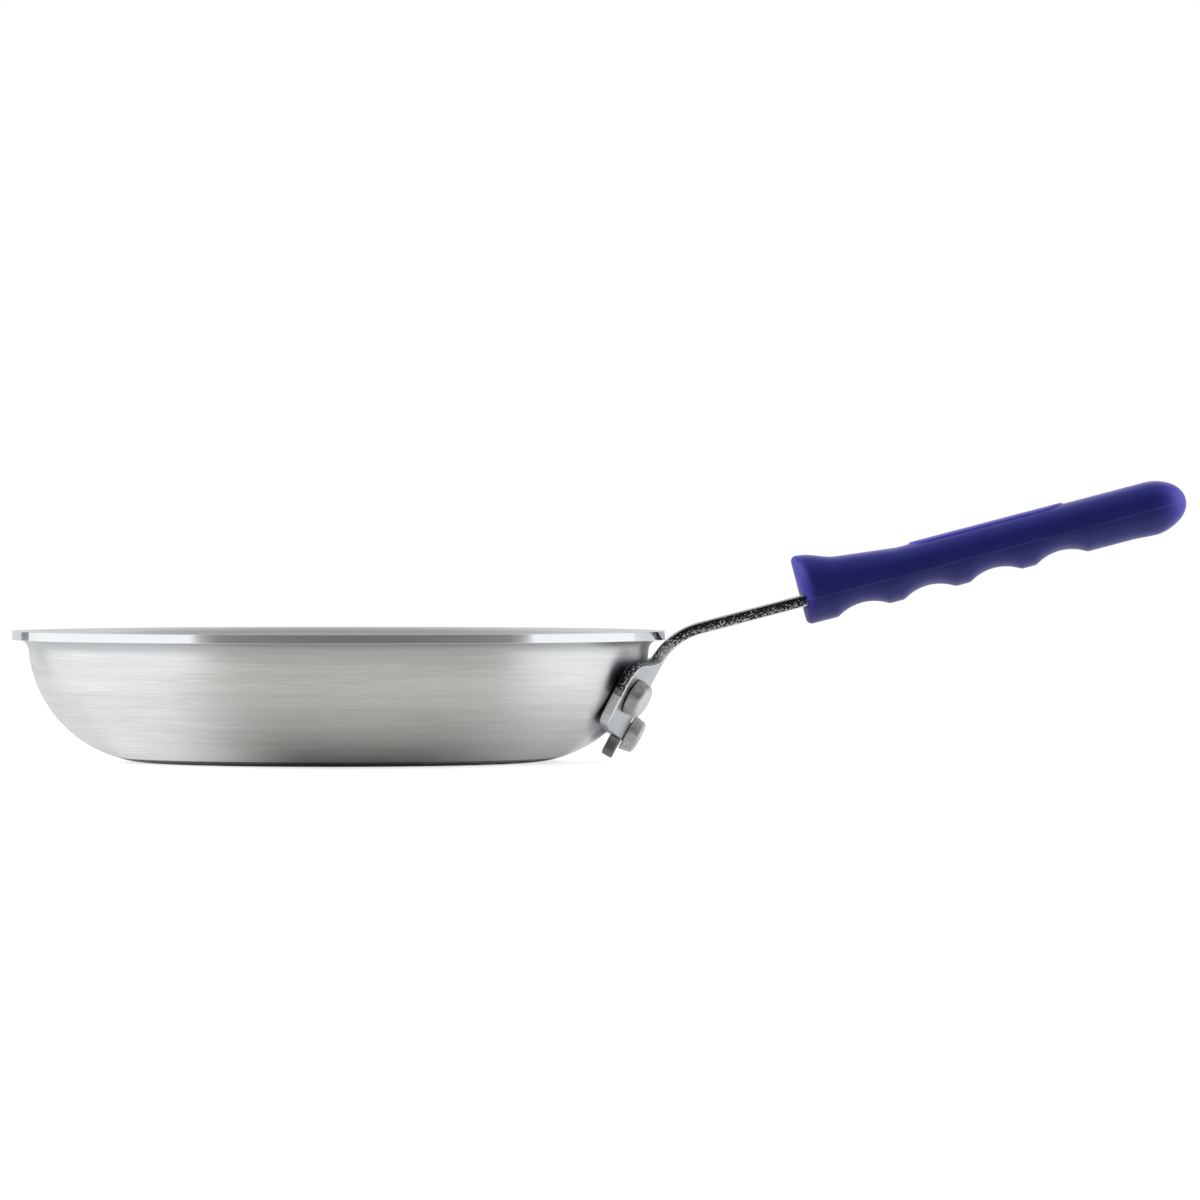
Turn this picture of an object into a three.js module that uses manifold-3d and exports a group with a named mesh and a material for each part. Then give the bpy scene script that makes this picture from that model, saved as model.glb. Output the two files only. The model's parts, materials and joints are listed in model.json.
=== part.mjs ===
// Frying pan: a spun aluminium body, a bent flat-bar handle held by three solid rivets,
// and a moulded silicone grip that pulls off the bar.
// Millimetres, +Z up. The pan stands on z = 0 with its axis on Z, and the handle points along +X.

import * as THREE from 'three';
import { mergeVertices } from 'three/addons/utils/BufferGeometryUtils.js';
import Module from 'manifold-3d';

const wasm = await Module();
wasm.setup();

const { degToRad, smoothstep } = THREE.MathUtils;
const QUARTER_TURN = Math.PI / 2;

// Fits between pieces
const SEAT_GAP = 0.3;
const HOLE_CLEARANCE = 0.3;
const GRIP_CLEARANCE = 0.3;
const RIM_CLEARANCE = 0.5;

// Pan body, spun from one sheet
const RIM_DIAMETER = 254;
const PAN_HEIGHT = 51;
const SHEET = 3.5;
const WALL_BEND_RADIUS = 47.5;
const RIM_BEND_RADIUS = 4.2;
const RIM_LIP = 2.3;
const RIM_EDGE_ROUND = 0.2;

// Handle: bar section, then the plate's outline in the flat blank, then the bends.
// The plate hangs from the start of the bend, and its edges are measured from the rivets.
const BAR_WIDTH = 21;
const BAR_THICKNESS = 4.5;
const BAR_EDGE_ROUND = 0.8;
const BAR_END_ROUND = 8;
const EXPOSED_BAR = 40.6;
const WING_MARGIN = 12.5;
const WING_LOWER_MARGIN = 15.7;
const WING_TAPER = 2.6;
const WING_LOWER_ROUND = 6;
const WING_UPPER_ROUND = 9;
const WING_LOWER_SLOPE = degToRad(2);
const SHOULDER_SLOPE = degToRad(8);
const SHOULDER_RISE = 1;
const SHOULDER_FILLET = 5;
const TONGUE_MARGIN = 11.8;
const TONGUE_END_ROUND = 3;
const TONGUE_FILLET = 2.5;
const PLATE_TILT = degToRad(28.5);
const PLATE_SINK = 1.4;
const HANDLE_RISE = degToRad(14.7);
const HANDLE_BEND_RADIUS = 29;

// Rivets
const RIVET_SPACING = 77;
const RIVETS_BELOW_BEND = 16;
const RIVET_ROW_PITCH = 13.7;
const SHANK_DIAMETER = 8;
const OUTER_HEAD_DIAMETER = 14.6;
const OUTER_HEAD_TAPER = 0.6;
const OUTER_HEAD_HEIGHT = 5.7;
const OUTER_HEAD_ROUND = 2;
const OUTER_HEAD_CROWN = 0.3;
const INNER_HEAD_DIAMETER = 16;
const INNER_HEAD_HEIGHT = 2.8;
const INNER_HEAD_EDGE = 0.8;

// Grip, with heights measured from the middle of the bar
const GRIP_LENGTH = 154.8;
const GRIP_WIDTH = 27;
const GRIP_TOP = 11;
const GRIP_BOTTOM = 9.5;
const GRIP_END_WALL = 14.5;
const GRIP_END_LENGTH = 14.4;
const GRIP_SQUARENESS = 2.6;
const NOSE_LENGTH = 7;
const NOSE_FLAT = 6;
const NOSE_ROUND = 2.4;
const GUARD_RISE = 2.4;
const GUARD_CREST = 4;
const GUARD_FOOT = 17;
const GUARD_FLARE = 0.8;
const RAMP_RISE = 4.7;
const RAMP_END = 41;
const HOLLOW_COUNT = 4;
const HOLLOW_FIRST = 22.8;
const HOLLOW_PITCH = 26.5;
const HOLLOW_WIDTH = 20.6;
const HOLLOW_DEPTH = 3.05;
const BULB_DROP = 0.5;
const BULB_REACH = 10;
const PAD_START = 46;
const PAD_LENGTH = 62;
const PAD_WIDTH = 15;
const PAD_RISE = 0.65;

// Facets
const PAN_FACETS = 72;
const RIVET_FACETS = 24;
const ARC_STEPS = 10;
const SMALL_ARC_STEPS = 3;
const CORNER_STEPS = 6;
const BAR_FACE_STEPS = 8;
const BEND_STEPS = 8;
const GRIP_RING_POINTS = 28;
const HOLLOW_STEPS = 8;
const LAST_RING_ANGLE = degToRad(1.2);

function plain(color, roughness, metalness) {
  return new THREE.MeshStandardMaterial({ color, roughness, metalness });
}

const aluminium = () => plain(0xc4c6c8, 0.34, 1);
const platedSteel = () => plain(0xb4bac2, 0.3, 1);
const rivetAluminium = () => plain(0xa9a7a6, 0.45, 1);
const silicone = () => plain(0x2b2980, 0.5, 0);

// A closed geometry as a solid that can be joined and cut, without triangles that shrank to a line
function solidOf(geometry) {
  const bare = geometry.clone();
  bare.deleteAttribute('normal');
  bare.deleteAttribute('uv');
  const merged = mergeVertices(bare);
  const corners = merged.index.array;
  const triangles = [];
  for (let i = 0; i < corners.length; i += 3) {
    const [a, b, c] = corners.slice(i, i + 3);
    if (a !== b && b !== c && c !== a) triangles.push(a, b, c);
  }
  const vertProperties = new Float32Array(merged.attributes.position.array);
  const triVerts = new Uint32Array(triangles);
  return new wasm.Manifold(new wasm.Mesh({ numProp: 3, vertProperties, triVerts }));
}

function geometryOf(solid) {
  const { vertProperties, triVerts } = solid.getMesh();
  const geometry = new THREE.BufferGeometry();
  geometry.setAttribute('position', new THREE.BufferAttribute(vertProperties, 3));
  geometry.setIndex(new THREE.BufferAttribute(triVerts, 1));
  geometry.computeVertexNormals();
  return geometry;
}

function named(name, solid, material) {
  const mesh = new THREE.Mesh(geometryOf(solid), material);
  mesh.name = name;
  return mesh;
}

// Whole number of equal steps from one value to another, both ends included
function spread(from, to, steps) {
  return Array.from({ length: steps + 1 }, (_, i) => from + ((to - from) * i) / steps);
}

// Points on a circle, with the angle measured from straight down and growing outwards
function arc(centre, radius, from, to, steps) {
  return spread(from, to, steps).map((angle) => {
    const spoke = new THREE.Vector2(Math.sin(angle), -Math.cos(angle));
    return spoke.multiplyScalar(radius).add(centre);
  });
}

// A profile of (radius, height) points turned about the Z axis
function turned(profile, facets) {
  return new THREE.LatheGeometry(profile, facets).rotateX(QUARTER_TURN);
}

// One closed skin over a row of rings that all have the same number of points
function loft(rings) {
  const count = rings[0].length;
  const points = rings.flat();
  const lastRing = points.length - count;
  const middle = (ring) => ring.reduce((sum, p) => sum.add(p), new THREE.Vector3()).divideScalar(count);
  const firstMiddle = points.push(middle(rings[0])) - 1;
  const lastMiddle = points.push(middle(rings.at(-1))) - 1;
  const index = [];
  for (let j = 0; j < count; j++) {
    const next = (j + 1) % count;
    for (let start = 0; start < lastRing; start += count) {
      const ahead = start + count;
      index.push(start + j, start + next, ahead + next);
      index.push(start + j, ahead + next, ahead + j);
    }
    index.push(firstMiddle, next, j);
    index.push(lastMiddle, lastRing + j, lastRing + next);
  }
  return new THREE.BufferGeometry().setFromPoints(points).setIndex(index);
}

// Pan body. The wall is one arc from the flat base up to the rim, which turns out over a smaller arc.
const rimRadius = RIM_DIAMETER / 2;
const lipUnderside = PAN_HEIGHT - SHEET;
const bendReach = WALL_BEND_RADIUS + RIM_BEND_RADIUS;
const wallTurn = Math.acos(Math.max(0, 1 - lipUnderside / bendReach));
const rimBend = new THREE.Vector2(rimRadius - RIM_LIP, lipUnderside - RIM_BEND_RADIUS);
const baseRadius = rimBend.x - bendReach * Math.sin(wallTurn);
const wallBend = new THREE.Vector2(baseRadius, WALL_BEND_RADIUS);

function panBody() {
  const edge = RIM_EDGE_ROUND;
  const lower = new THREE.Vector2(rimRadius - edge, lipUnderside + edge);
  const upper = new THREE.Vector2(rimRadius - edge, PAN_HEIGHT - edge);
  const profile = [
    new THREE.Vector2(0, 0),
    ...arc(wallBend, WALL_BEND_RADIUS, 0, wallTurn, ARC_STEPS),
    ...arc(rimBend, RIM_BEND_RADIUS, wallTurn - Math.PI, -Math.PI, SMALL_ARC_STEPS + 1),
    ...arc(lower, edge, 0, QUARTER_TURN, SMALL_ARC_STEPS - 1),
    ...arc(upper, edge, QUARTER_TURN, Math.PI, SMALL_ARC_STEPS - 1),
    ...arc(rimBend, RIM_BEND_RADIUS + SHEET, -Math.PI, wallTurn - Math.PI, SMALL_ARC_STEPS + 2),
    ...arc(wallBend, WALL_BEND_RADIUS - SHEET, wallTurn, 0, ARC_STEPS),
    new THREE.Vector2(0, SHEET),
  ];
  return solidOf(turned(profile, PAN_FACETS));
}

// The space inside the pan, kept clear of the wall by a gap
function panCavity(gap) {
  const radius = WALL_BEND_RADIUS - SHEET - gap;
  const profile = [
    new THREE.Vector2(0, SHEET + gap),
    ...arc(wallBend, radius, 0, wallTurn, ARC_STEPS),
    new THREE.Vector2(baseRadius + radius * Math.sin(wallTurn), PAN_HEIGHT),
    new THREE.Vector2(0, PAN_HEIGHT),
  ];
  return solidOf(turned(profile, PAN_FACETS));
}

// Handle. In the plane of the handle, along points up the plate and out points away from the pan.
const along = new THREE.Vector3(Math.sin(PLATE_TILT), 0, Math.cos(PLATE_TILT));
const out = new THREE.Vector3(Math.cos(PLATE_TILT), 0, -Math.sin(PLATE_TILT));
const side = new THREE.Vector3(0, 1, 0);
const wallCentre = new THREE.Vector3(wallBend.x, 0, wallBend.y);
const plateHalf = RIVET_SPACING / 2 + WING_MARGIN;
const barHalf = BAR_WIDTH / 2;

// The plate is a little flatter than the wall, which is flattened behind its middle;
// the plate's side edges lie on the round of the wall.
const plateReach = WALL_BEND_RADIUS + SEAT_GAP - PLATE_SINK;
const plateSeat = wallCentre.clone().addScaledVector(out, plateReach);
const wallCurve = plateSeat.x / Math.cos(PLATE_TILT);
const plateCurve = 1 / (1 / wallCurve - (2 * PLATE_SINK) / plateHalf ** 2);

// The bar starts to bend low enough to pass under the rim's outer edge with its clearance.
const rimEdge = new THREE.Vector3(rimRadius, 0, lipUnderside).sub(plateSeat);
const edgeStandsOut = rimEdge.dot(out) + RIM_CLEARANCE;
const bendSpan = 2 * HANDLE_BEND_RADIUS + RIM_CLEARANCE - rimEdge.dot(out);
const bendStart = rimEdge.dot(along) - Math.sqrt(Math.max(0, edgeStandsOut * bendSpan));
const bendTurn = QUARTER_TURN - PLATE_TILT - HANDLE_RISE;
const bendEnd = bendStart + HANDLE_BEND_RADIUS * bendTurn;
const upperRow = bendStart - RIVETS_BELOW_BEND;
const lowerRow = upperRow - RIVET_ROW_PITCH;
const tongueEnd = lowerRow - TONGUE_MARGIN;
const gripFront = bendEnd + EXPOSED_BAR;
const barInGrip = GRIP_LENGTH - GRIP_END_WALL - GRIP_CLEARANCE;
const barEnd = gripFront + barInGrip;

// Where the bar's upper face runs at a distance along it, with the direction out of its underside
function barAt(distance) {
  const turn = THREE.MathUtils.clamp((distance - bendStart) / HANDLE_BEND_RADIUS, 0, bendTurn);
  const tilt = PLATE_TILT + turn;
  const ahead = new THREE.Vector3(Math.sin(tilt), 0, Math.cos(tilt));
  const under = new THREE.Vector3(Math.cos(tilt), 0, -Math.sin(tilt));
  const point = plateSeat.clone().addScaledVector(along, Math.min(distance, bendStart));
  point.addScaledVector(out, HANDLE_BEND_RADIUS).addScaledVector(under, -HANDLE_BEND_RADIUS);
  point.addScaledVector(ahead, Math.max(0, distance - bendEnd));
  return { point, ahead, under };
}

// A point of the flat blank, moved by the bends. The plate is also pressed to the curve of the wall,
// which fades out along the bend.
function bent(distance, across, depth) {
  const { point, under } = barAt(distance);
  const curve = (1 - smoothstep(distance, bendStart, bendEnd)) / plateCurve;
  if (curve === 0) return point.addScaledVector(under, depth).addScaledVector(side, across);
  const angle = across * curve;
  const radius = 1 / curve + depth;
  point.addScaledVector(under, radius * Math.cos(angle) - 1 / curve);
  return point.addScaledVector(side, radius * Math.sin(angle));
}

// Half of the blank's outline: straight edges between corners, each rounded to its own radius
function roundedOutline(corners) {
  return corners.flatMap(({ at, radius }, i) => {
    if (!radius) return [at];
    const back = corners[i - 1].at.clone().sub(at).normalize();
    const forth = corners[i + 1].at.clone().sub(at).normalize();
    const half = Math.acos(back.dot(forth)) / 2;
    const centre = back.clone().add(forth).setLength(radius / Math.sin(half)).add(at);
    const first = back.multiplyScalar(radius / Math.tan(half)).add(at).sub(centre);
    const turn = Math.sign(first.cross(at.clone().sub(centre))) * (Math.PI - 2 * half);
    return spread(0, turn, CORNER_STEPS).map((angle) => {
      const spoke = first.clone().rotateAround(new THREE.Vector2(), angle);
      return spoke.add(centre);
    });
  });
}

function blankOutline() {
  const wing = plateHalf - barHalf;
  const shoulder = bendStart + SHOULDER_RISE;
  const wingEnd = upperRow - WING_LOWER_MARGIN;
  const corner = (distance, half, radius) => ({ at: new THREE.Vector2(distance, half), radius });
  return roundedOutline([
    corner(tongueEnd, 0, 0),
    corner(tongueEnd, barHalf, TONGUE_END_ROUND),
    corner(wingEnd - wing * Math.tan(WING_LOWER_SLOPE), barHalf, TONGUE_FILLET),
    corner(wingEnd, plateHalf - WING_TAPER, WING_LOWER_ROUND),
    corner(shoulder - wing * Math.tan(SHOULDER_SLOPE), plateHalf, WING_UPPER_ROUND),
    corner(shoulder, barHalf, SHOULDER_FILLET),
    corner(barEnd, barHalf, BAR_END_ROUND),
    corner(barEnd, 0, 0),
  ]);
}

// Section of the bar at one place: a flat strip with rounded edges, as (across, depth) points.
// It can be grown by a gap all round.
function barSection(half, gap) {
  const edge = BAR_EDGE_ROUND;
  const flat = half + gap - edge;
  const top = -gap;
  const bottom = BAR_THICKNESS + gap;
  const corner = (across, depth, from) =>
    spread(from, from - QUARTER_TURN, 2).map(
      (angle) => [across + edge * Math.cos(angle), depth + edge * Math.sin(angle)],
    );
  const face = (from, to, depth) => spread(from, to, BAR_FACE_STEPS).slice(1, -1).map((y) => [y, depth]);
  return [
    ...corner(-flat, top + edge, -QUARTER_TURN),
    ...corner(-flat, bottom - edge, Math.PI),
    ...face(-flat, flat, bottom),
    ...corner(flat, bottom - edge, QUARTER_TURN),
    ...corner(flat, top + edge, 0),
    ...face(flat, -flat, top),
  ];
}

function handleBlank(gap) {
  const outline = blankOutline().filter((point) => point.y > 0);
  const shoulderEnd = outline.findLast((point) => point.x < bendEnd);
  const bendStations = spread(shoulderEnd.x, bendEnd, BEND_STEPS).slice(1);
  const stations = [...outline, ...bendStations.map((distance) => new THREE.Vector2(distance, barHalf))];
  stations.sort((a, b) => a.x - b.x);
  const ring = ({ x, y }) => barSection(y, gap).map(([across, depth]) => bent(x, across, depth));
  return solidOf(loft(stations.map(ring)));
}

// Rivets. Each axis stands square on the plate and runs through the wall.
function rivetPlace(distance, across) {
  const foot = bent(distance, across, 0);
  const axis = bent(distance, across, 1).sub(foot);
  const wallInside = WALL_BEND_RADIUS - SHEET;
  const flatter = (across ** 2 / 2) * (1 / wallCurve - 1 / plateCurve);
  const wallDepth = plateReach - Math.sqrt(wallInside ** 2 - distance ** 2) + flatter;
  const lean = Math.asin(distance / wallInside);
  const inward = axis.clone().multiplyScalar(-Math.cos(lean)).addScaledVector(along, -Math.sin(lean));
  return { foot, axis, wallDepth, inward };
}

// A piece modelled along +Z, set at a point with +Z turned to a direction
function aimed(geometry, point, direction) {
  const turn = new THREE.Quaternion().setFromUnitVectors(new THREE.Vector3(0, 0, 1), direction);
  return geometry.applyQuaternion(turn).translate(point.x, point.y, point.z);
}

function rivetHole({ foot, axis, wallDepth }) {
  const length = 2 * (wallDepth + SHEET + BAR_THICKNESS);
  const drill = new THREE.CylinderGeometry(
    SHANK_DIAMETER / 2 + HOLE_CLEARANCE,
    SHANK_DIAMETER / 2 + HOLE_CLEARANCE,
    length,
    RIVET_FACETS,
  );
  return solidOf(aimed(drill.rotateX(QUARTER_TURN), foot, axis));
}

// Shank and the tall outer head that was set against the plate
function rivetOuter({ foot, axis, wallDepth }) {
  const seat = BAR_THICKNESS + SEAT_GAP;
  const top = seat + OUTER_HEAD_HEIGHT;
  const radius = OUTER_HEAD_DIAMETER / 2;
  const round = OUTER_HEAD_ROUND;
  const topCorner = new THREE.Vector2(radius - OUTER_HEAD_TAPER - round, top - round);
  const start = -wallDepth - INNER_HEAD_EDGE;
  const profile = [
    new THREE.Vector2(0, start),
    new THREE.Vector2(SHANK_DIAMETER / 2, start),
    new THREE.Vector2(SHANK_DIAMETER / 2, seat),
    new THREE.Vector2(radius, seat),
    ...arc(topCorner, round, QUARTER_TURN, Math.PI, SMALL_ARC_STEPS),
    new THREE.Vector2(0, top + OUTER_HEAD_CROWN),
  ];
  return solidOf(aimed(turned(profile, RIVET_FACETS), foot, axis));
}

// Low crowned head inside the pan, shaped to the wall it lies on
function rivetInner({ foot, axis, wallDepth, inward }, cavity) {
  const radius = INNER_HEAD_DIAMETER / 2;
  const crown = INNER_HEAD_HEIGHT - INNER_HEAD_EDGE;
  const crownRadius = (radius ** 2 + crown ** 2) / (2 * crown);
  const crownCentre = new THREE.Vector2(0, INNER_HEAD_HEIGHT - crownRadius);
  const crownTurn = Math.asin(radius / crownRadius);
  const profile = [
    new THREE.Vector2(0, -INNER_HEAD_HEIGHT),
    new THREE.Vector2(radius, -INNER_HEAD_HEIGHT),
    ...arc(crownCentre, crownRadius, Math.PI - crownTurn, Math.PI, SMALL_ARC_STEPS + 1),
  ];
  const point = foot.clone().addScaledVector(axis, -wallDepth);
  return solidOf(aimed(turned(profile, RIVET_FACETS), point, inward)).intersect(cavity);
}

// Grip, modelled along +X from its front face, with the middle of the bar on the X axis
const gripMiddle = (GRIP_TOP - GRIP_BOTTOM) / 2;
const noseHeight = GRIP_TOP + RAMP_RISE + GUARD_RISE;

// How far a quarter ellipse has risen after a share of its length
const quarterRise = (share) => Math.sqrt(1 - (1 - Math.min(1, Math.max(0, share))) ** 2);
const endStart = GRIP_LENGTH - GRIP_END_LENGTH;
const endShrink = (x) => quarterRise((GRIP_LENGTH - x) / GRIP_END_LENGTH);

function gripTop(x) {
  const guard = GUARD_RISE * (1 - smoothstep(x, GUARD_CREST, GUARD_FOOT));
  const ramp = RAMP_RISE * Math.max(0, 1 - x / RAMP_END);
  const corner = NOSE_ROUND * (1 - quarterRise(x / NOSE_ROUND));
  return GRIP_TOP + guard + ramp - corner;
}

function gripBottom(x) {
  const hollowRadius = ((HOLLOW_WIDTH / 2) ** 2 + HOLLOW_DEPTH ** 2) / (2 * HOLLOW_DEPTH);
  const nearest = Math.round((x - HOLLOW_FIRST) / HOLLOW_PITCH);
  const hollow = Math.min(HOLLOW_COUNT - 1, Math.max(0, nearest));
  const offset = x - HOLLOW_FIRST - hollow * HOLLOW_PITCH;
  const inside = Math.abs(offset) < HOLLOW_WIDTH / 2;
  const arch = inside ? Math.sqrt(hollowRadius ** 2 - offset ** 2) - hollowRadius + HOLLOW_DEPTH : 0;
  const corner = NOSE_ROUND * (1 - quarterRise(x / NOSE_ROUND));
  const bulb = BULB_DROP * (1 - smoothstep(Math.abs(x - endStart), 0, BULB_REACH));
  return -GRIP_BOTTOM + arch + corner - bulb;
}

function gripHalfWidth(x) {
  const flare = GUARD_FLARE * (1 - smoothstep(x, GUARD_CREST, GUARD_FOOT));
  const full = GRIP_WIDTH / 2 + flare;
  const flat = NOSE_FLAT / 2;
  return flat + (full - flat) * quarterRise(x / NOSE_LENGTH);
}

// Section at one place: an oval squared at its corners, scaled down towards the closed end
function gripRing(x) {
  const power = 2 / GRIP_SQUARENESS;
  const shaped = (value) => Math.sign(value) * Math.abs(value) ** power;
  const shrink = endShrink(x);
  return spread(0, 2 * Math.PI, GRIP_RING_POINTS).slice(1).map((angle) => {
    const height = shaped(Math.sin(angle));
    const reach = height > 0 ? gripTop(x) - gripMiddle : gripMiddle - gripBottom(x);
    const y = gripHalfWidth(x) * shaped(Math.cos(angle)) * shrink;
    return new THREE.Vector3(x, y, gripMiddle + reach * height * shrink);
  });
}

// Places along the grip where its shape changes. The last ring is a small one, just short of the tip.
function gripStations() {
  const quarter = spread(0, QUARTER_TURN, CORNER_STEPS);
  const nose = quarter.map((angle) => NOSE_LENGTH * (1 - Math.cos(angle)));
  const hollows = spread(0, HOLLOW_COUNT - 1, HOLLOW_COUNT - 1).flatMap((i) => {
    const middle = HOLLOW_FIRST + i * HOLLOW_PITCH;
    return spread(middle - HOLLOW_WIDTH / 2, middle + HOLLOW_WIDTH / 2, HOLLOW_STEPS);
  });
  const tail = spread(hollows.at(-1), endStart, HOLLOW_COUNT);
  const end = spread(LAST_RING_ANGLE, QUARTER_TURN, CORNER_STEPS + 1).map((angle) => {
    return GRIP_LENGTH - GRIP_END_LENGTH * (1 - Math.cos(angle));
  });
  return [...nose, ...hollows, ...tail.slice(1, -1), ...end].sort((a, b) => a - b);
}

function gripBody() {
  return loft(gripStations().map(gripRing));
}

// The raised pad follows the top of the grip at a small height inside a long oval
function gripPad(body) {
  const half = PAD_WIDTH / 2;
  const oval = new THREE.Shape();
  oval.absarc(PAD_START + half, 0, half, QUARTER_TURN, 3 * QUARTER_TURN);
  oval.absarc(PAD_START + PAD_LENGTH - half, 0, half, -QUARTER_TURN, QUARTER_TURN);
  const options = { depth: noseHeight, bevelEnabled: false, curveSegments: 2 * CORNER_STEPS };
  const prism = new THREE.ExtrudeGeometry(oval, options).translate(0, 0, BAR_THICKNESS);
  return solidOf(body.clone().translate(0, 0, PAD_RISE)).intersect(solidOf(prism));
}

// The pocket takes the bar with its clearance all round and at its end
function gripPocket() {
  const mouth = NOSE_LENGTH;
  const length = mouth + barInGrip + GRIP_CLEARANCE;
  const width = BAR_WIDTH + 2 * GRIP_CLEARANCE;
  const height = BAR_THICKNESS + 2 * GRIP_CLEARANCE;
  const pocket = new THREE.BoxGeometry(length, width, height);
  return solidOf(pocket.translate(length / 2 - mouth, 0, 0));
}

function gripSolid() {
  const body = gripBody();
  return solidOf(body).add(gripPad(body)).subtract(gripPocket());
}

// Assembly
const rivets = {
  rivet_upper_near: rivetPlace(upperRow, -RIVET_SPACING / 2),
  rivet_upper_far: rivetPlace(upperRow, RIVET_SPACING / 2),
  rivet_lower: rivetPlace(lowerRow, 0),
};
const holes = Object.values(rivets).map(rivetHole);
const drilled = (solid) => holes.reduce((cut, hole) => cut.subtract(hole), solid);
const cavity = panCavity(SEAT_GAP);

const pan = new THREE.Group();
const flattened = panBody().subtract(handleBlank(SEAT_GAP));
pan.add(named('pan_body', drilled(flattened), aluminium()));
pan.add(named('handle', drilled(handleBlank(0)), platedSteel()));
for (const [name, place] of Object.entries(rivets)) {
  const rivet = rivetOuter(place).add(rivetInner(place, cavity));
  pan.add(named(name, rivet, rivetAluminium()));
}

const grip = named('grip', gripSolid(), silicone());
const gripSeat = new THREE.Group();
const { point, under } = barAt(gripFront);
gripSeat.position.copy(point.addScaledVector(under, BAR_THICKNESS / 2));
gripSeat.rotation.y = -HANDLE_RISE;
gripSeat.add(grip);
pan.add(gripSeat);

export default pan;
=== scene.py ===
"""Looks of a frying pan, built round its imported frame.

Shapes are worked out in millimetres on the frame's own axes and turned to metres when a mesh is made.
"""

import json
import math

import bmesh
import bpy
import numpy as np
from mathutils import Matrix, Vector

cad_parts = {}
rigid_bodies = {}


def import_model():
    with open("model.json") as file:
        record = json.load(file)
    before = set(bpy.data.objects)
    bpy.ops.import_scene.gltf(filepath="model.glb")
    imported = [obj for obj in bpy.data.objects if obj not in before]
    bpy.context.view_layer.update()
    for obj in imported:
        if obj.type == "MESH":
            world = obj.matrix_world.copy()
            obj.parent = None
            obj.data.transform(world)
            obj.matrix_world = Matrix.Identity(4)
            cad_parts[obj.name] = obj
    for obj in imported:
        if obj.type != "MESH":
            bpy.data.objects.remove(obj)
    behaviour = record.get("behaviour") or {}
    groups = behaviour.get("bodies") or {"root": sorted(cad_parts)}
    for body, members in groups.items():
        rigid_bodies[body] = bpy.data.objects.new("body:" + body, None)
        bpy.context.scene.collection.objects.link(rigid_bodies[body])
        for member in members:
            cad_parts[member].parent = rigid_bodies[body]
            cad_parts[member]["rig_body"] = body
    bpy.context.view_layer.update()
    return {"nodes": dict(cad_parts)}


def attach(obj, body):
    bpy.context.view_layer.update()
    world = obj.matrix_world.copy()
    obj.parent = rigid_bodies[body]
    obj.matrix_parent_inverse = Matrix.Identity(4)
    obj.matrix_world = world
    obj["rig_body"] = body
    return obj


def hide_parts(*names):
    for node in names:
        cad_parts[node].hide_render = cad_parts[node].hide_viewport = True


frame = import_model()

MM = 0.001
QUARTER = math.pi / 2

# Fits
SEAT_GAP = 0.3
GRIP_CLEARANCE = 0.3
RIM_CLEARANCE = 0.5

# Pan body
RIM_RADIUS = 127
PAN_HEIGHT = 51
SHEET = 3.5
WALL_BEND = 47.5
RIM_BEND = 4.2
RIM_LIP = 2.3
RIM_EDGE = 0.2
OVER_RIM_POLISH = 0.4
# Painted shade on the outside just under the lip
LIP_SHADE_START = 5
LIP_SHADE_FULL = 2
LIP_SHADE_SHARE = 0.8
# Painted shade and a painted dark reflection of the plate on the wall beside it
PLATE_SHADE_MARGIN = 8
PLATE_SHADE_SHARE = 0.8
BODY_SEGMENTS = 288
BASE_STEPS = 14
WALL_STEPS = 64
UNDER_RIM_STEPS = 12
OVER_RIM_STEPS = 18
EDGE_STEPS = 5

# Streaks of the brushing: how often they change with the direction from the pan's axis, as x and y, and
# with each millimetre along the section
FINE_STREAKS = (4.0, 4.0, 2.6)
BROAD_STREAKS = (1.3, 1.3, 0.24)
DASHES = (5.5, 5.5, 1.6)
CLOUDS = (2.0, 2.0, 0.05)

# Handle, with the plate's outline in the flat blank
BAR_HALF = 10.5
BAR_THICKNESS = 4.5
BAR_EDGE = 0.8
BAR_END_ROUND = 8
EXPOSED_BAR = 40.6
RIVET_SPACING = 77
RIVETS_BELOW_BEND = 16
RIVET_ROW_PITCH = 13.7
WING_MARGIN = 12.5
WING_LOWER_MARGIN = 15.7
WING_TAPER = 2.6
WING_LOWER_ROUND = 6
WING_UPPER_ROUND = 9
WING_LOWER_SLOPE = math.radians(2)
SHOULDER_SLOPE = math.radians(8)
SHOULDER_RISE = 1
SHOULDER_FILLET = 5
TONGUE_MARGIN = 11.8
TONGUE_END_ROUND = 3
TONGUE_FILLET = 2.5
PLATE_TILT = math.radians(28.5)
PLATE_SINK = 1.4
HANDLE_RISE = math.radians(14.7)
HANDLE_BEND = 29
CORNER_STEPS = 12
CUTS_ALONG = 48
CUTS_ACROSS = 36
CUT_TOLERANCE = 0.0001
MERGE_DISTANCE = 0.002
TORN_FADE = 4
TORN_WAVER = 5
BEND_TEARS_AT = 5
BEND_TEARS_REACH = 9
BEND_TEARS = 0.14

# Rivets
SHANK_RADIUS = 4
OUTER_HEAD_RADIUS = 7.3
OUTER_HEAD_TAPER = 0.6
OUTER_HEAD_HEIGHT = 5.7
OUTER_HEAD_ROUND = 2
OUTER_HEAD_CROWN = 0.3
OUTER_HEAD_BEVEL = 0.3
INNER_HEAD_RADIUS = 8
INNER_HEAD_HEIGHT = 2.8
INNER_HEAD_EDGE = 0.8
INNER_HEAD_STEPS = 12
RIVET_SEGMENTS = 64
END_HIGHLIGHT_SHARE = 0.9

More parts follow.
